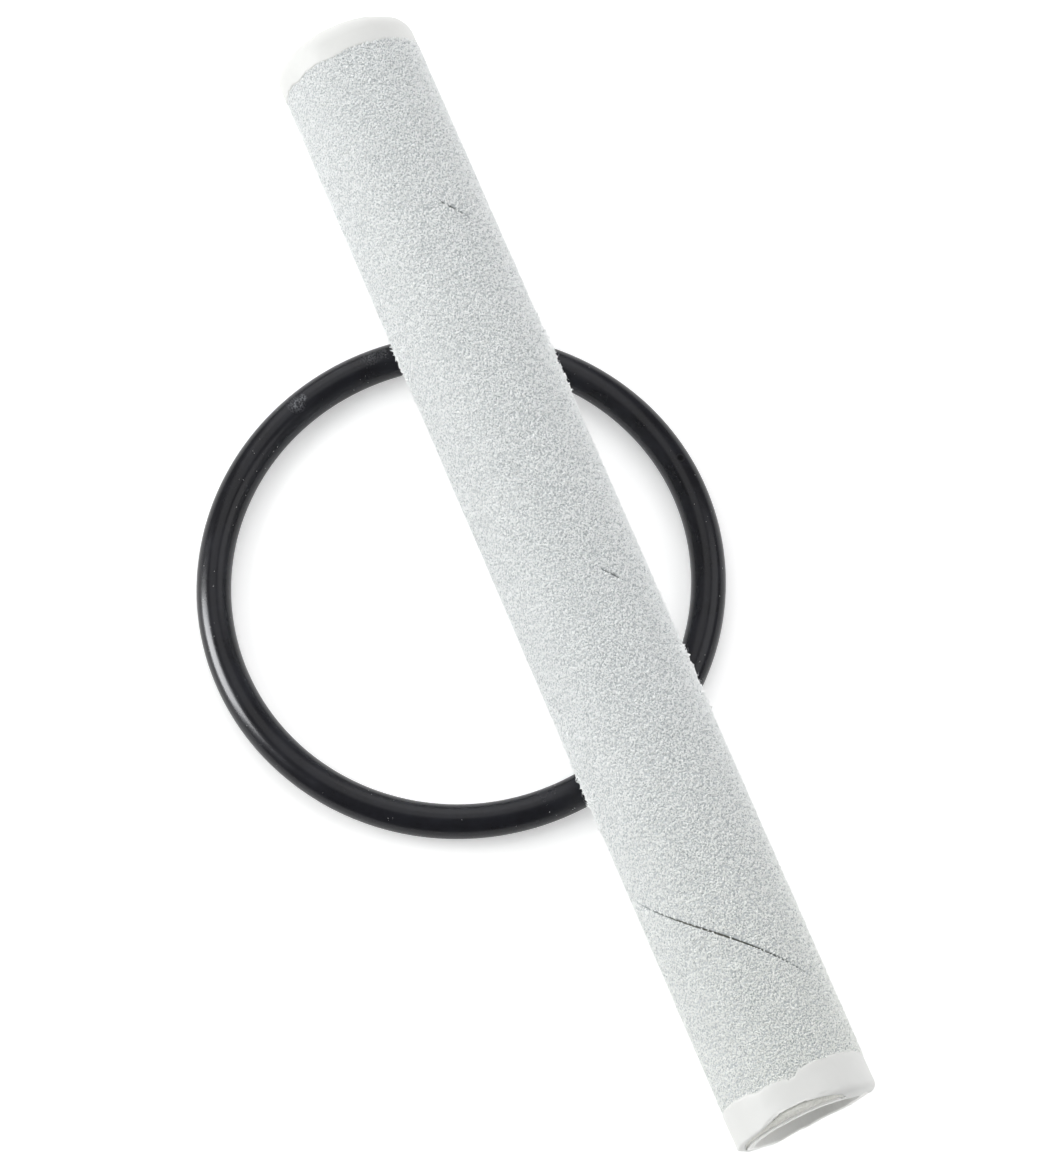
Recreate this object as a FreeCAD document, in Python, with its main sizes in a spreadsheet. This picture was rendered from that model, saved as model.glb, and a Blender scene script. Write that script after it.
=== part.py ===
import FreeCAD, Part
import Sketcher
import os

# A tubular swim float and its rubber ring.
#
# The float is a bar: a tube wound from two plastic plies, a foam sleeve over it, a napped cover strip
# wound on in a helix, and a dipped band at each end. It lies across a moulded rubber ring.
#
# The bar lies along X, and its open end, with the wider band, points to +X. The ring is flat on Z = 0.
# The origin is on the floor, at the bar's mid-length in X and at the ring's centre in Y.

DOC_NAME = "SwimFloat"
SHEET = "Sizes"

# Sizes that can each be changed by themselves, in millimetres.
SIZES = {
    "bar_length": 300.0,
    "bore_diameter": 28.6,
    "ply_wall": 0.8,
    "foam_wall": 1.6,
    "cover_wall": 0.9,
    # The dipped bands: how far each comes along the bar, and the lip that closes the rear end.
    "front_band_length": 10.5,
    "rear_band_length": 8.4,
    "rear_lip": 2.0,
    "front_band_round": 0.6,
    "rear_band_round": 3.4,
    # The open end: the coat stops short of the tube, and the foam's cut face slopes between them.
    "front_setback": 1.5,
    "front_ply_stand_out": 0.4,
    # The left-hand helix that every strip is wound in, and where its seam crosses the bar's top.
    "seam_pitch": 103.4,
    "cover_seam_top": 2.7,
    "cover_seam_gap": 0.3,
    "ply_seam_gap": 0.2,
    "ply_seam_step": 34.0,
    "seam_overcut": 0.4,
    "ring_inner_diameter": 114.3,
    "ring_cord_diameter": 8.7,
    # Where the bar lies over the ring: the ring's centre in X, the bar's axis in Y, the gap between.
    "ring_offset": -14.5,
    "bar_offset": 23.7,
    "rest_clearance": 0.3,
}

# Sizes that follow from those.
DERIVED = {
    "bore_radius": "bore_diameter / 2",
    "inner_ply_radius": "bore_radius + ply_wall",
    "outer_ply_radius": "inner_ply_radius + ply_wall",
    "foam_radius": "outer_ply_radius + foam_wall",
    "bar_radius": "foam_radius + cover_wall",
    "half_bar": "bar_length / 2",
    "wall_start": "rear_lip - half_bar",
    "ply_length": "bar_length - rear_lip",
    "front_coat_end": "half_bar - front_setback",
    "front_foam_end": "half_bar - front_ply_stand_out",
    "front_coat_start": "half_bar - front_band_length",
    # The rear band is drawn towards -X, so its places are lengths from mid-bar.
    "rear_wall_end": "half_bar - rear_lip",
    "rear_coat_start": "half_bar - rear_band_length",
    "cover_start": "rear_band_length - half_bar",
    "cover_length": "bar_length - front_band_length - rear_band_length",
    "helix_turns": "ceil(half_bar / seam_pitch) + 1",
    "helix_height": "2 * helix_turns * seam_pitch",
    "front_round": "min(front_band_round; 0.8 * cover_wall)",
    "rear_wall": "bar_radius - bore_radius",
    "rear_lip_limit": "rear_lip + cover_wall + sqrt(rear_lip * cover_wall)",
    "rear_round": "min(rear_band_round; rear_wall - cover_wall / 2; rear_lip_limit)",
    "ring_cord_radius": "ring_cord_diameter / 2",
    "ring_radius": "ring_inner_diameter / 2 + ring_cord_radius",
    "bar_height": "ring_cord_diameter + rest_clearance + bar_radius",
}


def of_sheet(name):
    """The way an expression asks for a size of the sheet."""
    return f"{SHEET}.{name}"


def fill_sheet(doc):
    """The spreadsheet that drives the model, with one size to a row."""
    sheet = doc.addObject("Spreadsheet::Sheet", SHEET)
    rows = [(name, repr(value)) for name, value in SIZES.items()]
    rows += [(name, "=" + formula) for name, formula in DERIVED.items()]
    for row, (name, value) in enumerate(rows, start=1):
        sheet.set(f"A{row}", name)
        sheet.setAlias(f"B{row}", name)
        sheet.set(f"B{row}", value)
    doc.recompute()


def origin_part(body, role):
    """A body's own origin plane or axis."""
    return next(part for part in body.Origin.OriginFeatures if part.Role == role)


def bar_body(doc, label, start=None):
    """A body on the bar's axis. Its own origin is at mid-length, or at the start it is given."""
    body = doc.addObject("PartDesign::Body", label)
    body.Label = label
    if start:
        body.setExpression("Placement.Base.x", of_sheet(start))
    body.setExpression("Placement.Base.y", of_sheet("bar_offset"))
    body.setExpression("Placement.Base.z", of_sheet("bar_height"))
    return body


def new_sketch(body, name, plane):
    sketch = body.newObject("Sketcher::SketchObject", name)
    sketch.AttachmentSupport = (origin_part(body, plane), [""])
    sketch.MapMode = "FlatFace"
    return sketch


def bind(sketch, kind, elements, formula):
    """A dimension of a sketch that is worked out from the sheet."""
    index = sketch.addConstraint(Sketcher.Constraint(kind, *elements, 1.0))
    sketch.setExpression(f"Constraints[{index}]", formula)


def closed_outline(sketch, points):
    """Straight lines from point to point and back to the first."""
    count = len(points)
    for index in range(count):
        start, end = points[index], points[(index + 1) % count]
        sketch.addGeometry(Part.LineSegment(FreeCAD.Vector(*start, 0), FreeCAD.Vector(*end, 0)))
    for index in range(count):
        sketch.addConstraint(Sketcher.Constraint("Coincident", index, 2, (index + 1) % count, 1))


def revolved_profile(body, label, corners, side=1):
    """A closed outline turned about the bar's axis.

    Each corner is the names of its place along the bar and of its radius, and side is -1 where the
    places are measured towards -X. The last value of each corner is where the sketch starts from.
    """
    profile = new_sketch(body, f"{label}_profile", "XZ_Plane")
    closed_outline(profile, [(side * x, z) for _, _, (x, z) in corners])
    for line, (along, radius, _) in enumerate(corners):
        ends = (-1, 1, line, 1) if side > 0 else (line, 1, -1, 1)
        bind(profile, "DistanceX", ends, of_sheet(along))
        bind(profile, "DistanceY", (-1, 1, line, 1), of_sheet(radius))
    turned = body.newObject("PartDesign::Revolution", f"{label}_turned")
    turned.Profile = profile
    turned.ReferenceAxis = (origin_part(body, "X_Axis"), [""])
    turned.Angle = 360
    return turned


def padded_tube(body, label, inner, outer, length):
    """A plain tube from the body's origin towards +X."""
    section = new_sketch(body, f"{label}_section", "YZ_Plane")
    for radius in (inner, outer):
        circle = section.addGeometry(Part.Circle(FreeCAD.Vector(), FreeCAD.Vector(0, 0, 1), 10))
        section.addConstraint(Sketcher.Constraint("Coincident", circle, 3, -1, 1))
        bind(section, "Radius", (circle,), of_sheet(radius))
    tube = body.newObject("PartDesign::Pad", f"{label}_tube")
    tube.Profile = section
    tube.setExpression("Length", of_sheet(length))
    return tube


def wound_strip(doc, label, start, length, inner, outer, seam_top, seam_gap):
    """A tube made of one strip wound in a left-hand helix, with a narrow seam between its turns."""
    body = bar_body(doc, label, start)
    tube = padded_tube(body, label, inner, outer, length)
    doc.recompute()
    plain_volume = tube.Shape.Volume

    # The seam's cutter starts behind the rear end, on top of the bar, and turns towards +Y from there.
    cutter = new_sketch(body, f"{label}_seam_section", "XZ_Plane")
    closed_outline(cutter, [(-200, 10), (-199, 10), (-199, 12), (-200, 12)])
    for line, kind in enumerate(("Horizontal", "Vertical", "Horizontal", "Vertical")):
        cutter.addConstraint(Sketcher.Constraint(kind, line))
    overcut = of_sheet("seam_overcut")
    turns = f"{of_sheet('helix_turns')} * {of_sheet('seam_pitch')}"
    bind(cutter, "DistanceX", (0, 1, -1, 1), f"{turns} + {of_sheet(start)} - ({seam_top})")
    bind(cutter, "DistanceY", (-1, 1, 0, 1), f"{of_sheet(inner)} - {overcut}")
    bind(cutter, "DistanceX", (0, 1, 0, 2), of_sheet(seam_gap))
    bind(cutter, "DistanceY", (1, 1, 1, 2), f"{of_sheet(outer)} - {of_sheet(inner)} + 2 * {overcut}")
    doc.recompute()
    seam = body.newObject("PartDesign::SubtractiveHelix", f"{label}_seam")
    seam.Profile = cutter
    seam.ReferenceAxis = (origin_part(body, "X_Axis"), [""])
    seam.Mode = "pitch-height-angle"
    seam.setExpression("Pitch", of_sheet("seam_pitch"))
    seam.setExpression("Height", of_sheet("helix_height"))
    seam.LeftHanded = True
    doc.recompute()
    if not seam.Shape.Volume < plain_volume:
        raise RuntimeError(f"{label}: the seam removed nothing")
    return body


def foam_sleeve(doc):
    """The foam between the wound tube and the cover, with the sloping cut face at the open end."""
    label = "foam_sleeve"
    body = bar_body(doc, label)
    revolved_profile(body, label, [
        ("wall_start", "outer_ply_radius", (-148, 16)),
        ("wall_start", "foam_radius", (-148, 17.5)),
        ("front_coat_end", "foam_radius", (148, 17.5)),
        ("front_foam_end", "outer_ply_radius", (149, 16)),
    ])
    return body


def round_rim(doc, body, label, turned, rim_x, radius):
    """Rounds a band's outer edge, which is the circle at its end that is as wide as the bar."""
    bar_radius = doc.getObject(SHEET).bar_radius
    rims = []
    for index, edge in enumerate(turned.Shape.Edges, start=1):
        box = edge.BoundBox
        at_end = abs(box.XMin - rim_x) < 1e-6 and abs(box.XMax - rim_x) < 1e-6
        if at_end and abs(box.ZMax - bar_radius) < 1e-6:
            rims.append(f"Edge{index}")
    rounded = body.newObject("PartDesign::Fillet", f"{label}_round")
    rounded.Base = (turned, rims)
    rounded.setExpression("Radius", of_sheet(radius))
    doc.recompute()
    if not rounded.Shape.Volume < turned.Shape.Volume:
        raise RuntimeError(f"{label}: the rim wasn't rounded")


def end_band_front(doc):
    """The dipped coat at the open end: a sleeve level with the cover that stops short of the tube."""
    label = "end_band_front"
    body = bar_body(doc, label)
    turned = revolved_profile(body, label, [
        ("front_coat_start", "bar_radius", (140, 18.4)),
        ("front_coat_end", "bar_radius", (148, 18.4)),
        ("front_coat_end", "foam_radius", (148, 17.5)),
        ("front_coat_start", "foam_radius", (140, 17.5)),
    ])
    doc.recompute()
    round_rim(doc, body, label, turned, doc.getObject(SHEET).front_coat_end, "front_round")
    return body


def end_band_rear(doc):
    """The dipped coat at the other end: a sleeve level with the cover, and a lip in to the bore."""
    label = "end_band_rear"
    body = bar_body(doc, label)
    turned = revolved_profile(body, label, [
        ("rear_coat_start", "bar_radius", (141, 18.4)),
        ("half_bar", "bar_radius", (150, 18.4)),
        ("half_bar", "bore_radius", (150, 14.3)),
        ("rear_wall_end", "bore_radius", (148, 14.3)),
        ("rear_wall_end", "foam_radius", (148, 17.5)),
        ("rear_coat_start", "foam_radius", (141, 17.5)),
    ], side=-1)
    doc.recompute()
    round_rim(doc, body, label, turned, -doc.getObject(SHEET).half_bar, "rear_round")
    return body


def rubber_ring(doc):
    """The moulded ring of round rubber cord, flat on the floor."""
    label = "rubber_ring"
    body = doc.addObject("PartDesign::Body", label)
    body.Label = label
    body.setExpression("Placement.Base.x", of_sheet("ring_offset"))
    cord = new_sketch(body, f"{label}_cord", "XZ_Plane")
    circle = cord.addGeometry(Part.Circle(FreeCAD.Vector(61, 4, 0), FreeCAD.Vector(0, 0, 1), 4))
    bind(cord, "Radius", (circle,), of_sheet("ring_cord_radius"))
    bind(cord, "DistanceX", (-1, 1, circle, 3), of_sheet("ring_radius"))
    bind(cord, "DistanceY", (-1, 1, circle, 3), of_sheet("ring_cord_radius"))
    turned = body.newObject("PartDesign::Revolution", f"{label}_turned")
    turned.Profile = cord
    turned.ReferenceAxis = (origin_part(body, "Z_Axis"), [""])
    turned.Angle = 360
    return body


def build(doc):
    """Every piece, from the bore outwards, and then the ring."""
    top = of_sheet("cover_seam_top")
    step = of_sheet("ply_seam_step")
    return [
        wound_strip(doc, "core_inner_ply", "wall_start", "ply_length",
                    "bore_radius", "inner_ply_radius", f"{top} - {step}", "ply_seam_gap"),
        wound_strip(doc, "core_outer_ply", "wall_start", "ply_length",
                    "inner_ply_radius", "outer_ply_radius", f"{top} + {step}", "ply_seam_gap"),
        foam_sleeve(doc),
        wound_strip(doc, "cover_strip", "cover_start", "cover_length",
                    "foam_radius", "bar_radius", top, "cover_seam_gap"),
        end_band_front(doc),
        end_band_rear(doc),
        rubber_ring(doc),
    ]


def check(doc, bodies):
    """Stops before anything is written if an object failed or a piece isn't one valid solid."""
    for item in doc.Objects:
        if "Invalid" in item.State or "Error" in item.State:
            raise RuntimeError(f"{item.Label} failed: {item.State}")
    for body in bodies:
        shape = body.Shape
        if shape.isNull() or not shape.isValid() or len(shape.Solids) != 1:
            raise RuntimeError(f"{body.Label} isn't one valid solid")


def main():
    doc = FreeCAD.newDocument(DOC_NAME)
    fill_sheet(doc)
    bodies = build(doc)
    doc.recompute()
    check(doc, bodies)
    os.makedirs("parts", exist_ok=True)
    for body in bodies:
        body.Shape.exportStep(os.path.join("parts", body.Label + ".step"))
        print(f"{body.Label}: {body.Shape.Volume:.1f} mm3")


main()
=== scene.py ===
import bpy
import bmesh
import math
from mathutils import Matrix, Vector, noise


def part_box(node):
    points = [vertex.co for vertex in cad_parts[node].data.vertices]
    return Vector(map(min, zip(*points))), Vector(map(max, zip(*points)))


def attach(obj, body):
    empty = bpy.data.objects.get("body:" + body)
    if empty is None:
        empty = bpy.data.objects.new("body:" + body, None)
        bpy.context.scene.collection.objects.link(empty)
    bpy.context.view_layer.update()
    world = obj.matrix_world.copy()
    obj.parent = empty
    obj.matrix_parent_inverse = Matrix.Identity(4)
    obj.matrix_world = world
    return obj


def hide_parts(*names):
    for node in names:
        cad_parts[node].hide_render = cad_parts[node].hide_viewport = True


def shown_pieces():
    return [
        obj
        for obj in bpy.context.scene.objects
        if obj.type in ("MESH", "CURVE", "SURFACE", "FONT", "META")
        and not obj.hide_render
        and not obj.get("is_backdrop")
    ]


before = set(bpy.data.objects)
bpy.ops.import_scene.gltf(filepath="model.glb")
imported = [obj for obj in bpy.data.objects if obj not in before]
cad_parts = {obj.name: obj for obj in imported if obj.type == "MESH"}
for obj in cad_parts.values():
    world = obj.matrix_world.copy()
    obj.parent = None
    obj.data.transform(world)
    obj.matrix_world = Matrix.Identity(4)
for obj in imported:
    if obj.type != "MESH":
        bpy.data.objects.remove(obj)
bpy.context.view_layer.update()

mm = 0.001
fullTurn = 2 * math.pi

# The bar's axis and width, from the cover's own box. Angles go from the bar's top towards +Y.
coverLow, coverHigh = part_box("cover_strip")
foamLow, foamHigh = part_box("foam_sleeve")
innerPlyLow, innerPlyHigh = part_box("core_inner_ply")
outerPlyLow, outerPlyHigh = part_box("core_outer_ply")
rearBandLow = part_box("end_band_rear")[0]
axisY = (coverLow.y + coverHigh.y) / 2
axisZ = (coverLow.z + coverHigh.z) / 2
barRadius = (coverHigh.y - coverLow.y) / 2
foamRadius = (foamHigh.y - foamLow.y) / 2
tubeRadius = (outerPlyHigh.y - outerPlyLow.y) / 2
plyJoinRadius = (innerPlyHigh.y - innerPlyLow.y) / 2
plyWall = tubeRadius - plyJoinRadius
boreRadius = plyJoinRadius - plyWall
frontEnd = innerPlyHigh.x
clear = 0.02 * mm  # neighbours that touch are drawn this far apart, and plies half as far
rearEnd = rearBandLow.x


def addNode(tree, kind, settings=None, values=None, links=None):
    # a link may come from a socket, or from a node, which stands for its first output
    node = tree.nodes.new(kind)
    for key, value in (settings or {}).items():
        setattr(node, key, value)
    for key, value in (values or {}).items():
        node.inputs[key].default_value = value
    for key, source in (links or {}).items():
        tree.links.new(getattr(source, "outputs", [source])[0], node.inputs[key])
    return node


def toLinear(hexColour):
    channels = []
    for start in (0, 2, 4):
        level = int(hexColour[start:start + 2], 16) / 255
        channels.append(level / 12.92 if level <= 0.04045 else ((level + 0.055) / 1.055) ** 2.4)
    return (*channels, 1.0)


def wobble(seed, place, size=1.0):
    # smooth noise from -1 to 1 that is the same on every run
    return noise.noise(Vector((place.x / size + seed * 17.3, place.y / size, place.z / size)))


def onBar(along, radius, angle):
    return Vector((along, axisY + radius * math.sin(angle), axisZ + radius * math.cos(angle)))


def ragged(seed, angle, grain, depth):
    # a torn or dabbed edge: big slow waves with small quick ones on them
    around = onBar(0, 1.0, angle) - onBar(0, 0, 0)
    slow = wobble(seed, around, 0.45)
    quick = wobble(seed + 1, around, grain)
    return depth * (0.6 * slow + 0.5 * quick)


def between(stops, value):
    # the height of a line through the stops, eased from one to the next
    if value <= stops[0][0]:
        return stops[0][1]
    for (left, low), (right, high) in zip(stops, stops[1:]):
        if value <= right:
            share = (value - left) / (right - left)
            share = share * share * (3 - 2 * share)
            return low + (high - low) * share
    return stops[-1][1]


def degreesFromTop(angle):
    return (math.degrees(angle) + 180) % 360 - 180


def makePiece(name, verts, faces, finish, smooth=True):
    mesh = bpy.data.meshes.new(name)
    mesh.from_pydata([tuple(v) for v in verts], [], faces)
    shape = bmesh.new()
    shape.from_mesh(mesh)
    bmesh.ops.recalc_face_normals(shape, faces=shape.faces)
    shape.to_mesh(mesh)
    shape.free()
    mesh.polygons.foreach_set("use_smooth", [smooth] * len(mesh.polygons))
    mesh.materials.append(finish)
    piece = bpy.data.objects.new(name, mesh)
    bpy.context.scene.collection.objects.link(piece)
    return piece


def fitToFrame(piece, body, slotName, *nodes):
    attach(piece, body)
    if nodes:
        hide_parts(*nodes)
    return piece


def startFinish(name, roughness, ior=None):
    finish = bpy.data.materials.new(name)
    finish.use_nodes = True
    tree = finish.node_tree
    tree.nodes.clear()
    shader = addNode(tree, "ShaderNodeBsdfPrincipled", values={"Roughness": roughness})
    if ior:
        shader.inputs["IOR"].default_value = ior
    addNode(tree, "ShaderNodeOutputMaterial", links={"Surface": shader.outputs["BSDF"]})
    place = addNode(tree, "ShaderNodeTexCoord").outputs["Object"]
    return finish, tree, shader, place


def endFinish(tree, shader, look, colour, height):
    # the colour, and a relief as deep and as strong as the finish's values say
    bump = addNode(tree, "ShaderNodeBump", values={
        "Distance": look["bumpMm"] * mm, "Strength": look["bumpStrength"]}, links={"Height": height})
    tree.links.new(colour, shader.inputs["Base Color"])
    tree.links.new(bump.outputs["Normal"], shader.inputs["Normal"])


def startTree(name, inputs):
    # a geometry tree with named inputs, ended by realize instances and set material
    tree = bpy.data.node_groups.new(name, "GeometryNodeTree")
    tree.interface.new_socket(name="Geometry", in_out="OUTPUT", socket_type="NodeSocketGeometry")
    tree.interface.new_socket(name="Geometry", in_out="INPUT", socket_type="NodeSocketGeometry")
    for label, kind in inputs.items():
        tree.interface.new_socket(name=label, in_out="INPUT", socket_type="NodeSocket" + kind)
    given = addNode(tree, "NodeGroupInput").outputs
    return tree, given


def endTree(tree, given, geometry, smooth=True):
    real = addNode(tree, "GeometryNodeRealizeInstances", links={"Geometry": geometry})
    shaded = addNode(tree, "GeometryNodeSetShadeSmooth", values={"Shade Smooth": smooth},
                     links={"Geometry": real})
    finished = addNode(tree, "GeometryNodeSetMaterial",
                       links={"Geometry": shaded, "Material": given["Finish"]})
    addNode(tree, "NodeGroupOutput", links={0: finished})


def putOnPoints(tree, points, roots, turn, instance, scale):
    # an instance on each point, turned from the way that the surface faces there
    asRotation = addNode(tree, "FunctionNodeEulerToRotation", links={"Euler": turn})
    turned = addNode(tree, "FunctionNodeRotateRotation", {"rotation_space": "LOCAL"}, links={
        "Rotation": roots.outputs["Rotation"], "Rotate By": asRotation})
    return addNode(tree, "GeometryNodeInstanceOnPoints", links={
        "Points": points, "Instance": instance, "Rotation": turned, "Scale": scale})


def runTree(name, tree, baseMesh, values):
    # a plain mesh of what the tree makes on the base mesh
    piece = bpy.data.objects.new(name, baseMesh)
    bpy.context.scene.collection.objects.link(piece)
    modifier = piece.modifiers.new(name, "NODES")
    modifier.node_group = tree
    for item in tree.interface.items_tree:
        if item.in_out == "INPUT" and item.name in values:
            modifier[item.identifier] = values[item.name]
    depsgraph = bpy.context.evaluated_depsgraph_get()
    made = bpy.data.meshes.new_from_object(
        piece.evaluated_get(depsgraph), preserve_all_data_layers=True, depsgraph=depsgraph)
    piece.modifiers.clear()
    piece.data = made
    made.name = name
    return piece


# Napped polyester: a short crimped pile, white and chalky, with painted shade: darker towards the crumbs'
# roots, lighter at their tips.
pileLook = {
    "lightHex": "feffff", "deepHex": "edf0f0", "warmHex": "fefefb", "warmFromMm": 40, "warmToMm": 150,
    "patchMm": 9.0, "rootMm": 17.95, "tipMm": 18.35, "rootShadeShare": 0.55, "patchShare": 0.25,
    "roughness": 0.95, "sheen": 0.1, "sheenRoughness": 0.5,
}


def nappedPile():
    look = pileLook
    finish, tree, shader, place = startFinish("napped polyester pile", look["roughness"])
    shader.inputs["Sheen Weight"].default_value = look["sheen"]
    shader.inputs["Sheen Roughness"].default_value = look["sheenRoughness"]
    centred = addNode(tree, "ShaderNodeMapping", values={"Location": (0, -axisY, -axisZ)},
                      links={"Vector": place})
    flat = addNode(tree, "ShaderNodeVectorMath", {"operation": "MULTIPLY"}, {1: (0, 1, 1)},
                   {0: centred})
    radius = addNode(tree, "ShaderNodeVectorMath", {"operation": "LENGTH"},
                     links={0: flat})
    # painted shade: the colour runs from deepHex at the crumbs' roots to lightHex at their tips, standing in
    # for the shade down among the crumbs
    depth = addNode(tree, "ShaderNodeMapRange", values={
        "From Min": look["rootMm"] * mm, "From Max": look["tipMm"] * mm, "To Min": 0.0, "To Max": 1.0,
    }, links={"Value": radius.outputs["Value"]})
    tone = addNode(tree, "ShaderNodeAttribute", {"attribute_name": "tone"})
    patches = addNode(tree, "ShaderNodeTexNoise", values={
        "Scale": 1 / (look["patchMm"] * mm), "Detail": 3.0}, links={"Vector": place})
    mixed = addNode(tree, "ShaderNodeMath", {"operation": "MULTIPLY_ADD"}, {1: look["rootShadeShare"]},
                    {0: depth, 2: tone.outputs["Fac"]})
    patched = addNode(tree, "ShaderNodeMath", {"operation": "MULTIPLY_ADD"}, {1: look["patchShare"]},
                      {0: patches, 2: mixed})
    colour = addNode(tree, "ShaderNodeMix", {"data_type": "RGBA"}, {
        6: toLinear(look["deepHex"]), 7: toLinear(look["lightHex"])}, {0: patched})
    # it has yellowed a little towards the open end
    along = addNode(tree, "ShaderNodeSeparateXYZ", links={0: place})
    yellowed = addNode(tree, "ShaderNodeMapRange", values={
        "From Min": look["warmFromMm"] * mm, "From Max": look["warmToMm"] * mm},
        links={"Value": along.outputs["X"]})
    warmed = addNode(tree, "ShaderNodeMix", {"data_type": "RGBA", "blend_type": "MULTIPLY"},
                     {7: toLinear(look["warmHex"])}, {0: yellowed, 6: colour.outputs[2]})
    tree.links.new(warmed.outputs[2], shader.inputs["Base Color"])
    return finish


# Knitted polyester backing: matt, greyer than the pile because little light gets down to it.
backingLook = {"lightHex": "e1e4e5", "deepHex": "adb2b4", "knitMm": 0.6, "roughness": 0.9, "bumpMm": 0.08,
               "bumpStrength": 0.8}


def knittedBacking():
    look = backingLook
    finish, tree, shader, place = startFinish("knitted polyester backing", look["roughness"])
    knit = addNode(tree, "ShaderNodeTexVoronoi", values={"Scale": 1 / (look["knitMm"] * mm)},
                   links={"Vector": place})
    colour = addNode(tree, "ShaderNodeMix", {"data_type": "RGBA"}, {
        6: toLinear(look["lightHex"]), 7: toLinear(look["deepHex"])},
        {0: knit})
    endFinish(tree, shader, look, colour.outputs[2], knit)
    return finish


# Dipped white vinyl: it sets with a soft gloss, levels out smooth and keeps a few low swellings.
coatLook = {"lightHex": "ebebe9", "deepHex": "e1e2e0", "cloudMm": 12.0, "roughness": 0.5, "specular": 0.2,
            "glossSpread": (-0.08, 0.12), "dimpleMm": 1.6, "bumpMm": 0.05, "bumpStrength": 0.5}


def dippedCoat():
    look = coatLook
    finish, tree, shader, place = startFinish("dipped white vinyl", look["roughness"], 1.5)
    shader.inputs["Specular IOR Level"].default_value = look["specular"]
    clouds = addNode(tree, "ShaderNodeTexNoise", values={
        "Scale": 1 / (look["cloudMm"] * mm), "Detail": 4.0}, links={"Vector": place})
    dimples = addNode(tree, "ShaderNodeTexNoise", values={
        "Scale": 1 / (look["dimpleMm"] * mm), "Detail": 2.0}, links={"Vector": place})
    colour = addNode(tree, "ShaderNodeMix", {"data_type": "RGBA"}, {
        6: toLinear(look["deepHex"]), 7: toLinear(look["lightHex"])}, {0: clouds})
    gloss = addNode(tree, "ShaderNodeMapRange", values={
        "To Min": look["roughness"] + look["glossSpread"][0],
        "To Max": look["roughness"] + look["glossSpread"][1]},
        links={"Value": dimples})
    tree.links.new(gloss.outputs["Result"], shader.inputs["Roughness"])
    endFinish(tree, shader, look, colour.outputs[2], dimples)
    return finish


# Polypropylene sheet: white and a little waxy, with faint lines along the way it was drawn out.
plyLook = {"lightHex": "fdfdfb", "deepHex": "f4f4f1", "lineMm": 0.5, "windDegrees": 43,
           "stretch": 0.06, "roughness": 0.38, "bumpMm": 0.02, "bumpStrength": 0.4}


def drawnPolypropylene():
    look = plyLook
    finish, tree, shader, place = startFinish("drawn polypropylene", look["roughness"], 1.49)
    # the strip is wound at a slant, so the drawn lines run at that angle round the tube
    stretched = addNode(tree, "ShaderNodeMapping", values={
        "Rotation": (0, 0, math.radians(look["windDegrees"])), "Scale": (look["stretch"], 1, 1)},
        links={"Vector": place})
    lines = addNode(tree, "ShaderNodeTexNoise", values={
        "Scale": 1 / (look["lineMm"] * mm), "Detail": 2.0}, links={"Vector": stretched})
    colour = addNode(tree, "ShaderNodeMix", {"data_type": "RGBA"}, {
        6: toLinear(look["deepHex"]), 7: toLinear(look["lightHex"])}, {0: lines})
    endFinish(tree, shader, look, colour.outputs[2], lines)
    return finish


# Cut polyethylene foam: matt, pale and warm, with the open halves of its cells across the cut.
foamLook = {"lightHex": "fafaf4", "deepHex": "e4e4dd", "slitShadeHex": "64655b", "slitShadeStopsMm": 3,
            "cellMm": 0.45, "roughness": 0.85, "bumpMm": 0.12, "bumpStrength": 0.7}


def cutFoam():
    look = foamLook
    finish, tree, shader, place = startFinish("cut polyethylene foam", look["roughness"], 1.5)
    cells = addNode(tree, "ShaderNodeTexVoronoi", values={"Scale": 1 / (look["cellMm"] * mm)},
                    links={"Vector": place})
    colour = addNode(tree, "ShaderNodeMix", {"data_type": "RGBA"}, {
        6: toLinear(look["deepHex"]), 7: toLinear(look["lightHex"])}, {0: cells})
    # under the cover the foam is painted dark, as painted shade in the open seam's slits, where only this
    # foam shows
    along = addNode(tree, "ShaderNodeSeparateXYZ", links={0: place})
    covered = addNode(tree, "ShaderNodeMath", {"operation": "LESS_THAN"},
                      {1: coverHigh.x - look["slitShadeStopsMm"] * mm}, {0: along.outputs["X"]})
    slitShaded = addNode(tree, "ShaderNodeMix", {"data_type": "RGBA"}, {7: toLinear(look["slitShadeHex"])},
                    {0: covered, 6: colour.outputs[2]})
    endFinish(tree, shader, look, slitShaded.outputs[2], cells)
    return finish


# Moulded nitrile rubber: near black with a soft sheen, greyed by handling and by a bloom of dust.
rubberLook = {"blackHex": "121217", "dustyHex": "202128", "rubHex": "74767a", "dentShadeHex": "050506",
              "roughness": 0.2, "glossSpread": (-0.06, 0.14), "specular": 0.27, "bloomMm": 14.0,
              "grainMm": 0.35, "bumpMm": 0.02, "bumpStrength": 0.35,
              # where it has been scuffed: place, reach and strength
              "scuffsMm": [((-73.0, -20.6, 8.7), 2.8, 1.5), ((-73.9, -18.6, 8.6), 1.5, 1.9),
                           ((-77.3, 1.0, 8.5), 3.0, 0.4), ((-77.0, 4.6, 8.5), 2.0, 0.3)],
              # painted shade of a small dent: its place and reach
              "dentShadeMm": ((-22.2, 62.5, 8.4), 1.3), "scuffGrainMm": 0.5}


def nearness(tree, place, centre, reach, strength):
    # strength at the centre, falling to nothing at the reach
    away = addNode(tree, "ShaderNodeVectorMath", {"operation": "DISTANCE"},
                   {1: [value * mm for value in centre]}, {0: place})
    near = addNode(tree, "ShaderNodeMapRange", {"interpolation_type": "SMOOTHSTEP"}, {
        "From Min": 0.0, "From Max": reach * mm, "To Min": strength, "To Max": 0.0},
        {"Value": away.outputs["Value"]})
    return near.outputs["Result"]


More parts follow.
